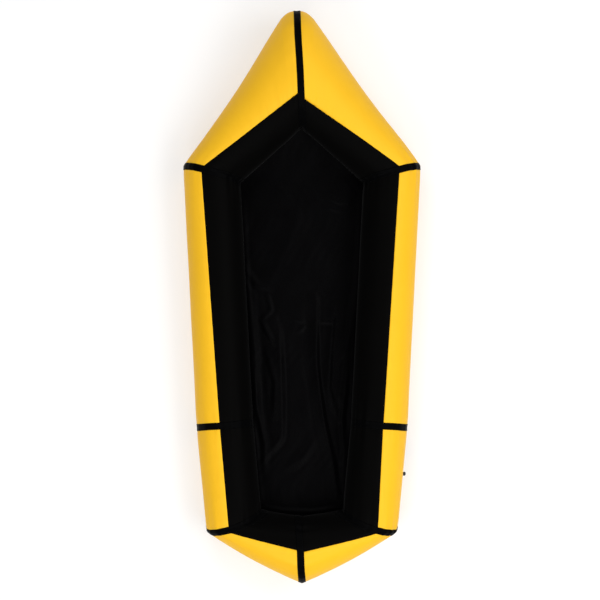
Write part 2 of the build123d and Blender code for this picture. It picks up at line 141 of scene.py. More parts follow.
sharp_bow = np.array([0, HULL_LENGTH / 2 + BOW_POINT_BEYOND])
front = np.array([BEAM_FRONT / 2, HULL_LENGTH / 2 - BOW_RUN])
corner = np.array([BEAM_STERN / 2, -HULL_LENGTH / 2 + STERN_RUN])
mid = np.array([BEAM_MID / 2, corner[1] + QUARTER_RUN])
stern_tip = np.array([0, -HULL_LENGTH / 2])
bow_edge = unit(front - sharp_bow)
stern_edge = unit(corner - stern_tip)
OUTER = {"bow": sharp_bow, "front": front, "mid": mid, "corner": corner, "stern": stern_tip}
INNER = {
    "bow": sharp_bow - [0, 2 * BOW_TUBE_RADIUS / abs(bow_edge[0])],
    "front": seam_inner(front, sharp_bow, mid),
    "mid": seam_inner(mid, front, corner),
    "corner": seam_inner(corner, mid, stern_tip, STERN_SEAM_TURN),
    "stern": stern_tip + [0, 2 * STERN_TUBE_RADIUS / abs(stern_edge[0])],
}
RADIUS = {"bow": BOW_TUBE_RADIUS, "front": TUBE_RADIUS, "mid": TUBE_RADIUS,
          "corner": TUBE_RADIUS, "stern": STERN_TUBE_RADIUS}
RISE = {"bow": BOW_RISE, "front": 0, "mid": 0, "corner": 0, "stern": STERN_RISE}


def mixed(values, length, share):
    """A station's value, mixed along a length of tube from its first end to its second."""
    first, second = (np.asarray(values[end], float) for end in ENDS[length])
    share = np.asarray(share, float)
    if first.ndim:
        share = share[..., None]
    return first + (second - first) * share


def outer_edge(length, share):
    """The tube's outboard edge in plan. The bow's two edges run into one round nose."""
    edge = mixed(OUTER, length, share)
    if length == "stern":
        outward = np.array([stern_edge[1], -stern_edge[0]])
        return edge + outward * (STERN_SWELL * np.sin(math.pi * np.asarray(share)))[..., None]
    if length != "bow":
        return edge
    x = edge[..., 0]
    nose = HULL_LENGTH / 2 - NOSE_RADIUS + np.sqrt(np.maximum(NOSE_RADIUS**2 - x**2, 0))
    touch = NOSE_RADIUS * abs(bow_edge[1])
    edge[..., 1] = np.where(x < touch, nose, edge[..., 1])
    inward = np.array([-abs(bow_edge[1]), -abs(bow_edge[0])])
    from_nose = np.clip((x - touch) / (OUTER["front"][0] - touch), 0, 1)
    return edge + inward * (BOW_HOLLOW * np.sin(math.pi * from_nose) ** 2)[..., None]


def rings(length, share):
    """The cross-section's middle, half-width, radius and lean, at shares along a length."""
    outer, inner = outer_edge(length, share), mixed(INNER, length, share)
    middle, half = (outer + inner) / 2, (outer - inner) / 2
    radius = mixed(RADIUS, length, share)
    if length == "bow":
        start = (OUTER["front"] + INNER["front"])[1] / 2
        end = (OUTER["bow"] + INNER["bow"])[1] / 2
        rise = BOW_RISE * (middle[..., 1] - start) / (end - start)
    else:
        rise = mixed(RISE, length, share)
    return middle, half, radius, TUBE_UNDERSIDE + rise, mixed(LEAN, length, share)


def seam_angle(length, side, share, off=0.0):
    """The angle, up from the outboard side, of the colour line, or of a line outboard of it."""
    def seam_point(end):
        middle, half, *_ = rings(length, np.array([float(end)]))
        return middle[0] + half[0] * SEAM_SHARE[side][length][end]

    start, end = seam_point(0), seam_point(1)
    along = unit(end - start)
    outboard = np.array([-along[1], along[0]])
    if outboard @ (start + end) < 0:
        outboard = -outboard
    middle, half, *_ = rings(length, share)
    k = ((start - middle) @ outboard + off) / (half @ outboard)
    return np.arccos(np.clip(k, -1, 1))


def pucker_waves(station, side):
    """Counts round the tube, heights, reaches and phases of the puckers at one seam."""
    seed = 11 + 7 * list(OUTER).index(station)
    if side == "port" and station not in ("bow", "stern"):
        seed += 3
    draw = np.random.default_rng(seed)
    counts = draw.choice(np.arange(*PUCKER_COUNTS), PUCKERS, replace=False)
    return [(n, draw.uniform(0.5, 1.0) * PUCKER_HEIGHT / n, PUCKER_REACH / n,
             draw.uniform(0, 2 * math.pi)) for n in counts]


def drift(y):
    """How far the bow has been pulled to port at a distance forward."""
    return -NOSE_DRIFT * np.clip((y - BOW_START) / (HULL_LENGTH / 2 - BOW_START), 0, 1)


def calm_near_valves(place):
    """From 0 at a valve's flange, which holds the skin smooth, to 1 away from it."""
    calm = np.ones(place.shape[:-1])
    for joint in frame["joints"]:
        if joint["name"] in ("insert_turn", "topup_turn"):
            away = np.linalg.norm(place - np.array(joint["pos_m"]), axis=-1)
            calm *= np.clip((away - FLANGE_REACH) / FLANGE_REACH, 0, 1)
    return calm


def relief(length, side, share, angle, radius, run):
    """How far the inflated skin stands out of, or sinks below, a plain round tube."""
    out = np.zeros(np.broadcast(share, angle).shape)
    for station, away in zip(ENDS[length], (share * run, (1 - share) * run)):
        out -= PINCH * np.exp(-(away / PINCH_REACH) ** 2)
        held = TAPE_HOLDS + (1 - TAPE_HOLDS) * np.clip(away / HELD_REACH, 0, 1)
        for n, height, reach, phase in pucker_waves(station, side):
            out += held * height * np.exp(-away / reach) * np.sin(n * angle + phase)
    seam = seam_angle(length, side, share)
    draw = np.random.default_rng(40 + 2 * list(ENDS).index(length) + (side == "port"))
    small = np.zeros_like(out)
    for wave in WELD_WAVES:
        small += wave * WELD_WAVE_HEIGHT * np.sin(
            2 * math.pi * share * run / wave + draw.uniform(0, 6))
    for centre in (seam, -seam):
        off = (np.mod(angle - centre + math.pi, 2 * math.pi) - math.pi) * radius
        out -= WELD_VALLEY * np.exp(-(off / WELD_VALLEY_WIDTH) ** 2)
        out += small * np.exp(-np.abs(off) / WELD_WAVE_REACH)
    swell = np.sin(2 * math.pi * share * run / SWELL_LENGTH + draw.uniform(0, 6))
    return out + SWELL_HEIGHT * swell * np.sin(2 * angle + draw.uniform(0, 6))


def tube_point(length, side, share, angle, lift=0.0):
    """A point on a length's skin, lifted off it by a distance, and its outboard mirror on port."""
    share, angle = np.broadcast_arrays(np.asarray(share, float), np.asarray(angle, float))
    middle, half, radius, underside, lean = rings(length, share)
    run = np.linalg.norm(OUTER[ENDS[length][0]] - OUTER[ENDS[length][1]])
    cos, sin = np.cos(angle), np.sin(angle)
    out = relief(length, side, share, angle, radius, run)
    if length == "quarter" and side == "starboard":
        bare = np.stack([middle[..., 0] + half[..., 0] * cos, middle[..., 1] + half[..., 1] * cos,
                         underside + radius + radius * sin], -1)
        out = out * calm_near_valves(bare)
    grown = 1 + (lift + out) / radius
    x = middle[..., 0] + half[..., 0] * cos * grown
    y = middle[..., 1] + half[..., 1] * cos * grown + lean * sin * grown
    z = underside + radius + radius * sin * grown
    return np.stack([x * SIDES[side] + drift(y), y, z], -1)


def even_shares(length, rows, start=0.0, end=1.0):
    """Shares along a length whose rows are evenly spaced on its outboard edge."""
    fine = np.linspace(0, 1, 2001)
    edge = outer_edge(length, fine)
    gone = np.concatenate([[0], np.cumsum(np.linalg.norm(np.diff(edge, axis=0), axis=1))])
    first, last = np.interp([start, end], fine, gone)
    return np.interp(np.linspace(first, last, rows), gone, fine)


def rolled_sheet(name, points):
    """A flat grid rolled to a grid of points, with its cut size as its UV map, in metres."""
    rows, columns = points.shape[:2]
    bpy.ops.mesh.primitive_grid_add(x_subdivisions=columns - 1, y_subdivisions=rows - 1, size=1)
    sheet = bpy.context.object
    sheet.name = sheet.data.name = name
    flat = np.empty(rows * columns * 3)
    sheet.data.vertices.foreach_get("co", flat)
    flat = flat.reshape(-1, 3) + 0.5
    across = np.rint(flat[:, 0] * (columns - 1)).astype(int)
    along = np.rint(flat[:, 1] * (rows - 1)).astype(int)
    sheet.data.vertices.foreach_set("co", points[along, across].ravel())
    steps_u = np.linalg.norm(np.diff(points, axis=1), axis=-1).mean(0)
    steps_v = np.linalg.norm(np.diff(points, axis=0), axis=-1).mean(1)
    u = np.concatenate([[0], np.cumsum(steps_u)])[across]
    v = np.concatenate([[0], np.cumsum(steps_v)])[along]
    corners = np.empty(len(sheet.data.loops), int)
    sheet.data.loops.foreach_get("vertex_index", corners)
    uv = np.stack([u[corners], v[corners]], -1)
    sheet.data.uv_layers[0].data.foreach_set("uv", uv.ravel())
    sheet.data.update()
    return sheet


def apply(piece, kind, **settings):
    """Adds a modifier to a piece and applies it."""
    bpy.ops.object.select_all(action="DESELECT")
    bpy.context.view_layer.objects.active = piece
    piece.select_set(True)
    modifier = piece.modifiers.new(kind.title(), kind)
    for key, value in settings.items():
        setattr(modifier, key, value)
    bpy.ops.object.modifier_apply(modifier=modifier.name)


def edit(piece, *steps):
    """Runs edit-mode operators on all of a piece. Each step is an operator and its settings."""
    bpy.ops.object.select_all(action="DESELECT")
    bpy.context.view_layer.objects.active = piece
    piece.select_set(True)
    bpy.ops.object.mode_set(mode="EDIT")
    bpy.ops.mesh.select_all(action="SELECT")
    for operator, settings in steps:
        getattr(bpy.ops.mesh, operator)(**settings)
    bpy.ops.object.mode_set(mode="OBJECT")


def face_out(piece, middles):
    """Turns a sheet over if its faces look towards the middle of what it wraps."""
    face = piece.data.polygons[len(piece.data.polygons) // 2]
    if face.normal.dot(face.center - Vector(middles)) < 0:
        edit(piece, ("flip_normals", {}))


def skin_panel(name, length, side, from_angle, to_angle, lift, steps, thick,
               start=0.0, end=1.0):
    """One panel of a tube, between two angles that may change along it, as a thin closed sheet."""
    run = np.linalg.norm(OUTER[ENDS[length][0]] - OUTER[ENDS[length][1]]) * (end - start)
    share = even_shares(length, round(run / ROW) + 1, start, end)[:, None]
    low, high = from_angle(share[:, 0])[:, None], to_angle(share[:, 0])[:, None]
    angle = low + (high - low) * np.linspace(0, 1, steps + 1)[None, :]
    panel = rolled_sheet(name, tube_point(length, side, share, angle, lift))
    middle, _, radius, underside, _ = rings(length, np.array([0.5 * (start + end)]))
    centre = (middle[0, 0] * SIDES[side], middle[0, 1], underside[0] + radius[0])
    face_out(panel, centre)
    apply(panel, "SOLIDIFY", thickness=thick, offset=-1)
    edit(panel, ("faces_shade_smooth", {}))
    return panel


def group_tree(name, inputs, outputs):
    """An empty shader node group with named sockets, given as (name, type, default)."""
    tree = bpy.data.node_groups.new(name, "ShaderNodeTree")
    for label, kind, default in inputs:
        socket = tree.interface.new_socket(label, in_out="INPUT", socket_type=kind)
        if default is not None:
            socket.default_value = default
    for label, kind in outputs:
        tree.interface.new_socket(label, in_out="OUTPUT", socket_type=kind)
    return tree, tree.nodes.new("NodeGroupInput"), tree.nodes.new("NodeGroupOutput")


def node(tree, kind, links=None, **settings):
    """Adds a node. Settings are its own properties, and links are input name or number to value."""
    made = tree.nodes.new(kind)
    for key, value in settings.items():
        setattr(made, key, value)
    for key, value in (links or {}).items():
        if isinstance(value, bpy.types.NodeSocket):
            tree.links.new(value, made.inputs[key])
        else:
            made.inputs[key].default_value = value
    return made


def math_node(tree, operation, *values):
    return node(tree, "ShaderNodeMath", dict(enumerate(values)), operation=operation).outputs[0]


def coated_weave():
    """Plain-weave cloth under a soft coating. Height rises and falls with each thread."""
    tree, given, made = group_tree(
        "Coated weave",
        [("Vector", "NodeSocketVector", None), ("Thread", "NodeSocketFloat", 0.0006),
         ("Crinkle", "NodeSocketFloat", 0.3)],
        [("Height", "NodeSocketFloat"), ("Mottle", "NodeSocketFloat")])
    place = node(tree, "ShaderNodeSeparateXYZ", {0: given.outputs["Vector"]})
    waves = []
    for axis in ("X", "Y"):
        turns = math_node(tree, "DIVIDE", place.outputs[axis], given.outputs["Thread"])
        waves.append(math_node(tree, "SINE", math_node(tree, "MULTIPLY", turns, math.pi)))
    over = math_node(tree, "MULTIPLY", waves[0], waves[1])
    threads = math_node(tree, "ABSOLUTE", over)
    crinkle = node(tree, "ShaderNodeTexNoise", {"Vector": given.outputs["Vector"], "Scale": 190.0,
                                                "Detail": 3.0, "Roughness": 0.55})
    lumps = math_node(tree, "MULTIPLY", crinkle.outputs[0], given.outputs["Crinkle"])
    tree.links.new(math_node(tree, "ADD", math_node(tree, "MULTIPLY", threads, 0.25), lumps),
                   made.inputs["Height"])
    mottle = node(tree, "ShaderNodeTexNoise", {"Vector": given.outputs["Vector"], "Scale": 9.0,
                                               "Detail": 4.0, "Roughness": 0.6})
    tree.links.new(mottle.outputs[0], made.inputs["Mottle"])
    return tree


def handling_wear():
    """Scuffs and dust. Amount grows near the ground, on the faces that are dragged over it."""
    tree, given, made = group_tree(
        "Handling wear",
        [("Reach", "NodeSocketFloat", 0.07), ("Dust", "NodeSocketFloat", 0.07)],
        [("Amount", "NodeSocketFloat")])
    place = node(tree, "ShaderNodeTexCoord").outputs["Object"]
    height = node(tree, "ShaderNodeSeparateXYZ", {0: place}).outputs["Z"]
    low = node(tree, "ShaderNodeMapRange", {"Value": height, "From Min": 0.0,
                                            "From Max": given.outputs["Reach"],
                                            "To Min": 1.0, "To Max": 0.0})
    facing = node(tree, "ShaderNodeNewGeometry").outputs["True Normal"]
    tilt = node(tree, "ShaderNodeSeparateXYZ", {0: facing}).outputs["Z"]
    under = node(tree, "ShaderNodeMapRange", {"Value": tilt, "From Min": 0.1, "From Max": -0.5})
    patches = node(tree, "ShaderNodeTexNoise", {"Vector": place, "Scale": 7.0, "Detail": 9.0,
                                                "Roughness": 0.62})
    broken = node(tree, "ShaderNodeMapRange", {"Value": patches.outputs[0], "From Min": 0.30,
                                               "From Max": 0.78})
    dusty = math_node(tree, "MULTIPLY", broken.outputs[0], low.outputs[0])
    dragged = math_node(tree, "MULTIPLY", dusty, under.outputs[0])
    tree.links.new(math_node(tree, "MULTIPLY", dragged, given.outputs["Dust"]),
                   made.inputs["Amount"])
    return tree


WEAVE = coated_weave()
WEAR = handling_wear()


def fabric(name, colour, light_colour, roughness, thread, bump, crinkle, specular, sheen=0.0,
           dust=(0.30, 0.27, 0.22, 1)):
    """Coated cloth: two near shades mottled together, threads in relief, and dust low down."""
    material = bpy.data.materials.new(name)
    material.use_nodes = True
    tree = material.node_tree
    shader = tree.nodes["Principled BSDF"]
    shader.inputs["Specular IOR Level"].default_value = specular
    shader.inputs["Sheen Weight"].default_value = sheen
    shader.inputs["Sheen Roughness"].default_value = 0.4
    cut = node(tree, "ShaderNodeTexCoord").outputs["UV"]
    weave = node(tree, "ShaderNodeGroup", node_tree=WEAVE)
    tree.links.new(cut, weave.inputs["Vector"])
    weave.inputs["Thread"].default_value = thread
    weave.inputs["Crinkle"].default_value = crinkle
    wear = node(tree, "ShaderNodeGroup", node_tree=WEAR)
    shades = node(tree, "ShaderNodeMix", {"Factor": weave.outputs["Mottle"], "A": colour,
                                          "B": light_colour}, data_type="RGBA")
    aged = node(tree, "ShaderNodeMix", {"Factor": wear.outputs["Amount"],
                                        "A": shades.outputs["Result"], "B": dust},
                data_type="RGBA")
    tree.links.new(aged.outputs["Result"], shader.inputs["Base Color"])
    rough = node(tree, "ShaderNodeMapRange", {"Value": weave.outputs["Mottle"], "From Min": 0.3,
                                              "From Max": 0.7, "To Min": roughness - 0.04,
                                              "To Max": roughness + 0.05})
    tree.links.new(math_node(tree, "ADD", rough.outputs[0], wear.outputs["Amount"]),
                   shader.inputs["Roughness"])
    relief_node = node(tree, "ShaderNodeBump", {"Height": weave.outputs["Height"],
                                                "Strength": bump, "Distance": 0.0006})
    tree.links.new(relief_node.outputs["Normal"], shader.inputs["Normal"])
    return material


yellow = fabric("Yellow coated nylon", (0.92, 0.500, 0.016, 1), (0.97, 0.540, 0.020, 1), 0.46,
                0.00045, 0.35, 0.5, 0.10)


def finish_piece(piece, material, *cad_nodes, slot):
    """Gives a piece of the hull its material and hides the CAD nodes it stands for. Its slot is not
    used.
    """
    piece.data.materials.clear()
    piece.data.materials.append(material)
    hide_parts(*cad_nodes)
    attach(piece, "hull")


def declare_cut(panel, width=None):
    """Works out the size a welded panel was cut to, from its UV map or from its area and a width;
    the result is not kept.
    """
    area = sum(face.area for face in panel.data.polygons) / 2
    if width:
        length = area / width
    else:
        uv = np.empty(len(panel.data.loops) * 2)
        panel.data.uv_layers[0].data.foreach_get("uv", uv)
        width, length = uv.reshape(-1, 2).max(0)


def outer_steps(length):
    seam = seam_angle(length, "starboard", np.linspace(0, 1, 9))
    return round(AROUND * float(seam.mean()) / math.pi)


def open_for_valves(skin):
    """Cuts the round hole under each valve's flange, through which its neck goes into the tube."""
    for joint in frame["joints"]:
        if joint["name"] not in NECK_HOLES:
            continue
        outward = Vector(joint["axis"])
        bpy.ops.object.select_all(action="DESELECT")
        bpy.ops.mesh.primitive_cylinder_add(
            vertices=96, radius=NECK_HOLES[joint["name"]], depth=NECK_PUNCH, calc_uvs=False,
            location=joint["pos_m"], rotation=outward.to_track_quat("Z", "Y").to_euler())
        punch = bpy.context.object
        apply(skin, "BOOLEAN", object=punch, operation="DIFFERENCE", solver="EXACT")
        bpy.data.objects.remove(punch)


for side in SIDES:
    for length in ENDS:
        skin = skin_panel(f"yellow_skin_{length}_{side}", length, side,
                          lambda s: -seam_angle(length, side, s, -WELD_LAP),
                          lambda s: seam_angle(length, side, s, -WELD_LAP),
                          SKIN_STEP, outer_steps(length), SKIN)
        if (length, side) == ("quarter", "starboard"):
            open_for_valves(skin)
        finish_piece(skin, yellow, f"outer_skin_{length}_{side}", slot="yellow_tube_fabric")
        declare_cut(skin)


# ---- Black inner skins ----
# The cockpit side of each length is a black panel of the same nylon. It carries the paddler's
# weight and hides dirt. Its edges lie under the yellow panel's at both long welds.
black = fabric("Black coated nylon", (0.0009, 0.0008, 0.0007, 1), (0.0014, 0.0013, 0.0012, 1),
               0.52, 0.00045, 0.3, 0.4, 0.018, sheen=0.02)

for side in SIDES:
    for length in ENDS:
        skin = skin_panel(f"black_skin_{length}_{side}", length, side,
                          lambda s: seam_angle(length, side, s),
                          lambda s: 2 * math.pi - seam_angle(length, side, s),
                          -SKIN_STEP, AROUND - outer_steps(length), SKIN)
        finish_piece(skin, black, f"inner_skin_{length}_{side}", slot="black_tube_fabric")
        declare_cut(skin)


# ---- Weld strips inside the tube ----
# A narrow strip of the same fabric backs each long weld, top and bottom. It is welded on from
# the air side, so the joint is airtight even where the two skins' edges don't quite meet.
STRIP_WIDTH = 0.024
STRIP_INSIDE = -0.0009        # below the tube's true surface, under both panels
STRIP_STEPS = 4
strip_black = fabric("Inside weld strip", (0.010, 0.010, 0.011, 1), (0.014, 0.014, 0.015, 1),
                     0.6, 0.00045, 0.3, 0.4, 0.2)


def joined(name, pieces):
    """Several meshes made one piece."""
    bpy.ops.object.select_all(action="DESELECT")
    for piece in pieces:
        piece.select_set(True)
    bpy.context.view_layer.objects.active = pieces[0]
    bpy.ops.object.join()
    pieces[0].name = pieces[0].data.name = name
    return pieces[0]


for edge, way in (("top", 1), ("bottom", -1)):
    strips = []
    for side in SIDES:
        for length in ENDS:
            strips.append(skin_panel(
                f"strip_{edge}_{length}_{side}", length, side,
                lambda s: way * seam_angle(length, side, s, -STRIP_WIDTH / 2),
                lambda s: way * seam_angle(length, side, s, STRIP_WIDTH / 2),
                STRIP_INSIDE, STRIP_STEPS, SKIN))
    strips = joined(f"{edge}_weld_strips", strips)
    finish_piece(strips, strip_black, f"{edge}_seam_strips", slot="seam_tape")
    declare_cut(strips, STRIP_WIDTH)


# ---- Seam tapes ----
# Black tape is welded round the tube over each mitred seam, half on each length, to seal it.
# It is laid by hand, so it wanders a little off the seam as it goes round.
TAPE_WIDTH = 0.028
TAPE_LIFT = 0.0011
TAPE_THICK = 0.0005
TAPE_AROUND = 176
TAPE_ACROSS = 8
TAPE_RIPPLE = 0.0006          # a hand's unsteadiness, five times round the tube
# How far each tape lies off its seam, and how much that swings from outboard to cockpit side.
WANDER = {"bow": (0.003, -0.003), "front": (0, 0.001), "mid": (0, 0.001),
          "corner": (-0.001, 0.002), "stern": (-0.007, 0.007)}
tape_black = fabric("Seam tape", (0.0006, 0.0006, 0.0007, 1), (0.0010, 0.0010, 0.0011, 1),
                    0.50, 0.0008, 0.25, 0.4, 0.018, sheen=0.02)


def share_at(length, station, side, distance, angle):
    """The share along a length that is a distance from the mitred seam at one of its ends."""
    ends = [tube_point(length, side, at, angle) for at in (0.0, 1.0)]
    near = ENDS[length].index(station)
    _, half, *_ = rings(length, np.array([float(near)]))
    across = unit(half[0])
    square = np.array([-across[1] * SIDES[side], across[0]])
    run = np.abs((ends[1] - ends[0])[..., :2] @ square)
    return np.abs(near - distance / np.maximum(run, 1e-6))


def seam_tape(name, station, parts):
    """A tape round the tube. Parts are the length and side before the seam and after it."""
    angle = np.linspace(0, 2 * math.pi, TAPE_AROUND + 1)
    level, swing = WANDER[station]
    offset = level + swing * np.cos(angle) + TAPE_RIPPLE * np.sin(5 * angle)
    across = np.linspace(-TAPE_WIDTH / 2, TAPE_WIDTH / 2, TAPE_ACROSS + 1)
    distance = across[:, None] + offset[None, :]
    sheets = []
    for (length, side) in parts:
        share = share_at(length, station, side, np.abs(distance), angle[None, :])
        sheets.append(tube_point(length, side, share, angle[None, :], TAPE_LIFT))
    tape = rolled_sheet(name, np.where((distance < 0)[..., None], *sheets))
    edit(tape, ("remove_doubles", {"threshold": 1e-5}))
    middle, _, radius, underside, _ = rings(parts[1][0], np.array([float(
        ENDS[parts[1][0]].index(station))]))
    face_out(tape, (middle[0, 0] * SIDES[parts[1][1]], middle[0, 1], underside[0] + radius[0]))
    apply(tape, "SOLIDIFY", thickness=TAPE_THICK, offset=1)
    edit(tape, ("faces_shade_smooth", {}))
    return tape


BESIDE = {"front": ("bow", "side"), "mid": ("side", "quarter"), "corner": ("quarter", "stern")}
for side in SIDES:
    for station, (before, after) in BESIDE.items():
        tape = seam_tape(f"tape_{station}_seam_{side}", station, [(before, side), (after, side)])
        finish_piece(tape, tape_black, f"tape_{station}_{side}", slot="seam_tape")
        declare_cut(tape)
for station in ("bow", "stern"):
    tape = seam_tape(f"tape_{station}_seam", station, [(station, "port"), (station, "starboard")])
    finish_piece(tape, tape_black, f"tape_{station}", slot="seam_tape")
    declare_cut(tape)


# ---- Floor ----
# One heavier sheet, welded under the tube all round. With nobody aboard it is slack across, so
# it lies in long creases that gather towards the seat, and it runs up under bow and stern.
FLOOR_THICK = 0.0012
FLOOR_ROW = 0.0062
FLOOR_ACROSS = 121
EASING = 220                  # passes that ease the rise to bow and stern away from the welds
SHEET_TIP = 0.014             # half-width at which the sheet's two ends are cut off square
STERN_SHORT = 0.006           # how far the sheet stops short of the stern's weld, and the bow's
BOW_SHORT = 0.017
WELD_STIFF = 8                # the sheet lies flat only close to its welds
# The slack cloth's slow waves: height, then waves and phase across and along.
SLACK = [(0.0022, 21, 1.1, 9.5, 0.4), (0.0008, 55, -0.5, 31, 1.7)]
CRINKLE_HEIGHT = 0.0003
LINE_STEPS = 60               # a crease's line is drawn in so many steps, then rounded off
LINE_ROUNDING = 6
CREST_ROUND = 0.0016
TROUGH_DEPTH = 0.28           # of the crest's height, in the hollow beside it
TROUGH_AT = 2.2               # in widths of the crease
TROUGH_WIDTH = 0.8
# Each crease: points along its crest, its height, and its width to port and to starboard.
CREASES = [
    ([(-0.236, 0.40), (-0.219, 0.03), (-0.194, -0.47), (-0.166, -0.82)], 0.0036, 0.010, 0.007),
    ([(0.236, 0.40), (0.219, 0.03), (0.196, -0.47), (0.168, -0.82)], 0.0036, 0.007, 0.010),
    ([(-0.150, -0.848), (-0.075, -0.862), (0.050, -0.866), (0.150, -0.850)], 0.005, 0.007, 0.006),
    ([(-0.212, 0.04), (-0.192, -0.22), (-0.183, -0.45), (-0.157, -0.54)], 0.007, 0.010, 0.014),
    ([(-0.095, -0.11), (-0.083, -0.35), (-0.081, -0.57), (-0.140, -0.64)], 0.012, 0.034, 0.010),
    ([(-0.145, -0.21), (-0.108, -0.34), (-0.112, -0.48)], 0.006, 0.008, 0.012),
    ([(-0.166, -0.095), (-0.116, -0.186)], 0.007, 0.006, 0.009),
    ([(-0.142, 0.02), (-0.124, -0.05), (-0.164, -0.09)], 0.005, 0.007, 0.007),
    ([(0.058, 0.0), (0.057, -0.27), (0.086, -0.49), (0.128, -0.68), (0.143, -0.79)],
     0.012, 0.018, 0.008),
    ([(0.128, -0.04), (0.114, -0.22), (0.107, -0.37), (0.146, -0.50)], 0.008, 0.012, 0.008),
    ([(0.180, -0.15), (0.160, -0.35), (0.147, -0.46)], 0.007, 0.009, 0.007),
    ([(0.206, 0.02), (0.192, -0.17), (0.176, -0.37), (0.160, -0.49), (0.172, -0.62),
      (0.160, -0.76)], 0.007, 0.008, 0.010),
    ([(-0.030, -0.085), (0.014, -0.100)], 0.003, 0.006, 0.006),
    ([(-0.018, -0.140), (0.016, -0.112)], 0.003, 0.005, 0.006),
    ([(-0.070, -0.700), (0.010, -0.640), (0.060, -0.560)], 0.003, 0.018, 0.014),
    ([(0.010, 0.46), (-0.060, 0.20), (-0.150, 0.02)], 0.008, 0.070, 0.110),
    ([(0.105, 0.41), (0.150, 0.385), (0.200, 0.395)], 0.003, 0.008, 0.010),
    ([(0.095, 0.37), (0.160, 0.350)], 0.003, 0.008, 0.008),
    ([(0.060, -0.095), (0.150, -0.10)], 0.003, 0.007, 0.010),
    ([(-0.232, 0.12), (-0.180, 0.05), (-0.130, 0.035)], 0.004, 0.010, 0.010),
    ([(-0.195, -0.30), (-0.180, -0.46), (-0.150, -0.60), (-0.155, -0.70)], 0.006, 0.009, 0.012),
]
floor_black = fabric("Floor fabric", (0.0006, 0.0005, 0.0007, 1), (0.0010, 0.0009, 0.0011, 1),
                     0.44, 0.0009, 0.3, 0.5, 0.026, sheen=0.02)


def station_middle(station):
    """Where a station's tube is lowest: the line to which the floor is welded."""
    middle = (OUTER[station] + INNER[station]) / 2
    if station == "bow":
        middle = (np.array([0, HULL_LENGTH / 2]) + INNER["bow"]) / 2
    return middle


def crease_heights(x, y):
    """The height of the creases over points of the floor."""
    total = np.zeros_like(x)
    for path, height, port_width, starboard_width in CREASES:
        path = np.array(path)
        gone = np.concatenate([[0], np.cumsum(np.linalg.norm(np.diff(path, axis=0), axis=1))])
        fine = np.linspace(0, gone[-1], LINE_STEPS)
        line = np.stack([np.interp(fine, gone, path[:, k]) for k in (0, 1)], -1)
        for _ in range(LINE_ROUNDING):
            line[1:-1] = (line[:-2] + 2 * line[1:-1] + line[2:]) / 4
        near = np.full(x.shape, np.inf)
        beside = np.zeros_like(x)
        place = np.zeros_like(x)
        for k, (start, end) in enumerate(zip(line[:-1], line[1:])):
            along = end - start
            share = ((x - start[0]) * along[0] + (y - start[1]) * along[1]) / (along @ along)
            share = np.clip(share, 0, 1)
            off_x, off_y = x - start[0] - share * along[0], y - start[1] - share * along[1]
            off = np.hypot(off_x, off_y)
            closer = off < near
            near = np.where(closer, off, near)
            beside = np.where(closer, off_x, beside)
            place = np.where(closer, (k + share) / (len(line) - 1), place)
        width = np.where(beside < 0, port_width, starboard_width)
        crest = np.exp(-(np.sqrt(near**2 + CREST_ROUND**2) - CREST_ROUND) / width)
        trough = TROUGH_DEPTH * np.exp(-((near / width - TROUGH_AT) / TROUGH_WIDTH) ** 2)
        along = np.sin(math.pi * np.clip(place, 0.02, 0.98)) ** 0.5
        total += height * (crest - trough) * along
    return total


def floor_sheet():
    """The sheet, from the stern's end to the bow's, as wide everywhere as its weld lines."""
    stations = ["stern", "corner", "mid", "front", "bow"]
    middles = np.array([station_middle(station) for station in stations])
    y = np.linspace(middles[0, 1] + STERN_SHORT, middles[-1, 1] - BOW_SHORT,
                    round((middles[-1, 1] - middles[0, 1]) / FLOOR_ROW))
    half_width = np.maximum(np.interp(y, middles[:, 1], middles[:, 0]), SHEET_TIP)
    welded_rise = np.interp(y, middles[:, 1], [STERN_RISE, 0, 0, 0, BOW_RISE])
    eased_rise = welded_rise.copy()
    for _ in range(EASING):
        eased_rise[1:-1] = (eased_rise[:-2] + 2 * eased_rise[1:-1] + eased_rise[2:]) / 4
    u = np.linspace(-1, 1, FLOOR_ACROSS)
    x = half_width[:, None] * u[None, :]
    y = np.broadcast_to(y[:, None], x.shape)
    loose = 1 - np.abs(u[None, :]) ** WELD_STIFF
    slack = np.zeros_like(x)
    for height, across, across_phase, along, along_phase in SLACK:
        slack += height * (1 + np.sin(x * across + across_phase) * np.sin(y * along + along_phase))
    slack += CRINKLE_HEIGHT * np.sin(x * 160 + 9 * np.sin(y * 14)) * np.sin(y * 23 + 0.9)
    rise = welded_rise[:, None] + (eased_rise - welded_rise)[:, None] * (1 - u[None, :] ** 2)
    z = rise + FLOOR_THICK + np.maximum(slack + crease_heights(x, y), 0) * loose
    return rolled_sheet("floor_sheet", np.stack([x + drift(y), y, z], -1))


floor = floor_sheet()
face_out(floor, (0, 0, -1))
apply(floor, "SOLIDIFY", thickness=FLOOR_THICK, offset=-1)
edit(floor, ("faces_shade_smooth", {}))
finish_piece(floor, floor_black, "floor_panel", "floor_bow_panel", "floor_stern_panel",
             slot="floor_fabric")
declare_cut(floor)


# ---- Floor bands ----
# The floor's edge is welded to the tube by a band that runs from the tube's lowest line up past
# the lower long weld. It takes the wear when the boat is dragged.
BAND_LAP = 0.018
BAND_STEP = 0.0004
BAND_LIFT = 0.0012            # over the tube's true surface, clear of its skins
BAND_STEPS = 10
BAND_GAP = 0.002              # between a band's end and the seam tape's edge
BOW_BAND_START = 0.62         # share of the bow's length at which its band begins


def band_outer_angle(length, side, share):
    """The band's upper edge, measured down from the outboard side. It never crosses its lower."""
    return -np.minimum(seam_angle(length, side, share, BAND_LAP), math.pi / 2 - 0.01)


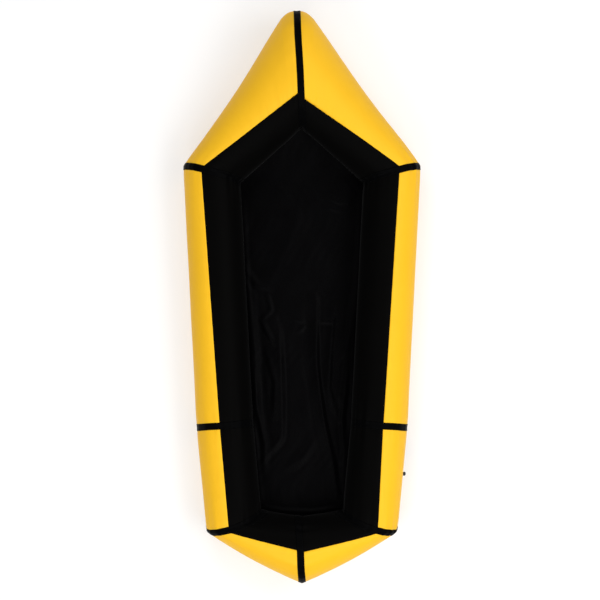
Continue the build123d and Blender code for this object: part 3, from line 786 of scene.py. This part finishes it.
for side in SIDES:
    for length in ENDS:
        near, far = (share_at(length, station, side, TAPE_WIDTH / 2 + BAND_GAP,
                              np.array([-math.pi / 2]))[0] for station in ENDS[length])
        if length == "bow":
            near = BOW_BAND_START
        band = skin_panel(f"band_{length}_{side}", length, side,
                          lambda s: np.full(len(s), -math.pi / 2),
                          lambda s: band_outer_angle(length, side, s),
                          BAND_LIFT, BAND_STEPS, FLOOR_THICK - BAND_STEP,
                          start=float(near), end=float(far))
        finish_piece(band, floor_black, f"floor_band_{length}_{side}", slot="seam_tape")
        declare_cut(band)


# ---- Valves ----
# Moulded plastic parts low on the starboard quarter, clear of the paddle. Each valve's soft base
# is welded into the skin by its flange, and its harder parts screw or press into the base.
SHADE_SPREAD = 1.5            # from a moulding's colour to its lighter clouds


def moulded(name, colour, roughness, specular, bump):
    material = bpy.data.materials.new(name)
    material.use_nodes = True
    tree = material.node_tree
    shader = tree.nodes["Principled BSDF"]
    shader.inputs["Specular IOR Level"].default_value = specular
    place = node(tree, "ShaderNodeTexCoord").outputs["Object"]
    grain = node(tree, "ShaderNodeTexNoise", {"Vector": place, "Scale": 2600.0, "Detail": 2.0})
    cloud = node(tree, "ShaderNodeTexNoise", {"Vector": place, "Scale": 140.0, "Detail": 3.0})
    lighter = tuple(min(1, SHADE_SPREAD * value) for value in colour[:3]) + (1,)
    shade = node(tree, "ShaderNodeMix", {"Factor": cloud.outputs[0], "A": colour, "B": lighter},
                 data_type="RGBA")
    tree.links.new(shade.outputs["Result"], shader.inputs["Base Color"])
    rough = node(tree, "ShaderNodeMapRange", {"Value": cloud.outputs[0], "To Min": roughness - 0.06,
                                              "To Max": roughness + 0.08})
    tree.links.new(rough.outputs[0], shader.inputs["Roughness"])
    pits = node(tree, "ShaderNodeBump", {"Height": grain.outputs[0], "Strength": bump,
                                         "Distance": 0.0001})
    tree.links.new(pits.outputs["Normal"], shader.inputs["Normal"])
    return material


valve_plastic = moulded("Valve plastic", (0.012, 0.012, 0.013, 1), 0.38, 0.4, 0.4)
valve_moulding = moulded("Soft moulding", (0.016, 0.016, 0.017, 1), 0.5, 0.3, 0.25)
seal_rubber = moulded("Seal rubber", (0.03, 0.03, 0.03, 1), 0.6, 0.3, 0.1)
flap_silicone = moulded("Flap silicone", (0.5, 0.52, 0.5, 1), 0.35, 0.5, 0.05)
EDGE_ROUND = 0.00035          # a mould leaves no edge sharp
EDGE_ANGLE = math.radians(35)


def rounded_copy(name, material):
    """A moulded part's own piece: the part's shape with its edges rounded, as a mould leaves it."""
    cad = frame["nodes"][name]
    bpy.ops.object.select_all(action="DESELECT")
    bpy.context.view_layer.objects.active = cad
    cad.select_set(True)
    bpy.ops.object.duplicate()
    bpy.ops.object.parent_clear(type="CLEAR_KEEP_TRANSFORM")
    piece = bpy.context.object
    piece.name = piece.data.name = f"{name}_moulding"
    edit(piece, ("remove_doubles", {"threshold": 1e-6}),
         ("dissolve_limited", {"angle_limit": math.radians(0.5)}))
    apply(piece, "BEVEL", width=EDGE_ROUND, segments=2, limit_method="ANGLE",
          angle_limit=EDGE_ANGLE)
    bpy.ops.object.shade_smooth_by_angle(angle=EDGE_ANGLE)
    piece.data.materials.clear()
    piece.data.materials.append(material)
    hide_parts(name)
    return piece


for name, material, body in (
        ("valve_base", valve_moulding, "hull"), ("topup_base", valve_moulding, "hull"),
        ("valve_cap", valve_plastic, "cap"), ("topup_mouthpiece", valve_plastic, "topup_mouth")):
    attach(rounded_copy(name, material), body)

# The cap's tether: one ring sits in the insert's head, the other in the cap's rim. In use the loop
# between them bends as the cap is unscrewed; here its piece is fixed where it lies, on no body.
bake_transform(rounded_copy("cap_tether", valve_moulding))

for name, material in (
        ("valve_insert", valve_plastic), ("topup_barrel", valve_plastic),
        ("topup_plug", valve_plastic), ("insert_gasket", seal_rubber),
        ("cap_seal", seal_rubber), ("topup_seal", seal_rubber), ("valve_flap", flap_silicone)):
    cad = frame["nodes"][name]
    cad.data.materials.clear()
    cad.data.materials.append(material)


# ---- Studio ----
# A plain pale floor, soft panels all round, and a long lens straight overhead.
FLOOR_SIZE = 120
CAMERA_HEIGHT = 24.0
VIEW_WIDTH = 2.417
AIM_X = -0.008
AIM_Y = -0.010
PAPER_GLOW = 0.47             # keeps the pale floor near white round the boat
ROOM_LIGHT = 0.16
bpy.ops.mesh.primitive_plane_add(size=FLOOR_SIZE)
ground = bpy.context.object
ground.name = "studio_floor"
paper = bpy.data.materials.new("Studio paper")
paper.use_nodes = True
sheet = paper.node_tree.nodes["Principled BSDF"]
sheet.inputs["Base Color"].default_value = (0.55, 0.55, 0.55, 1)
sheet.inputs["Roughness"].default_value = 0.9
sheet.inputs["Specular IOR Level"].default_value = 0.0
sheet.inputs["Emission Color"].default_value = (1, 1, 1, 1)
sheet.inputs["Emission Strength"].default_value = PAPER_GLOW
ground.data.materials.append(paper)

PANELS = [  # azimuth and elevation in degrees, distance, size, power
    (15, 52, 5.5, 3.2, 100),
    (105, 50, 5.5, 3.0, 84),
    (237, 50, 5.5, 3.2, 124),
    (312, 50, 5.5, 3.0, 120),
]
for number, (azimuth, elevation, distance, size, power) in enumerate(PANELS):
    turn, tilt = math.radians(azimuth), math.radians(elevation)
    away = Vector((math.cos(tilt) * math.cos(turn), math.cos(tilt) * math.sin(turn),
                   math.sin(tilt)))
    light = bpy.data.lights.new(f"panel_{number}", "AREA")
    light.size = size
    light.energy = power
    lamp = bpy.data.objects.new(f"panel_{number}", light)
    lamp.location = away * distance
    lamp.rotation_euler = away.to_track_quat("Z", "Y").to_euler()
    bpy.context.scene.collection.objects.link(lamp)

world = bpy.data.worlds.new("Soft room")
world.use_nodes = True
world.node_tree.nodes["Background"].inputs[0].default_value = (0.9, 0.93, 1.0, 1)
world.node_tree.nodes["Background"].inputs[1].default_value = ROOM_LIGHT
bpy.context.scene.world = world
bpy.context.scene.view_settings.view_transform = "Standard"

lens = bpy.data.cameras.new("overhead")
lens.lens = lens.sensor_width * (CAMERA_HEIGHT - TUBE_RADIUS) / VIEW_WIDTH
lens.clip_end = 100
camera = bpy.data.objects.new("overhead", lens)
camera.location = (AIM_X, AIM_Y, CAMERA_HEIGHT)
bpy.context.scene.collection.objects.link(camera)
bpy.context.scene.camera = camera
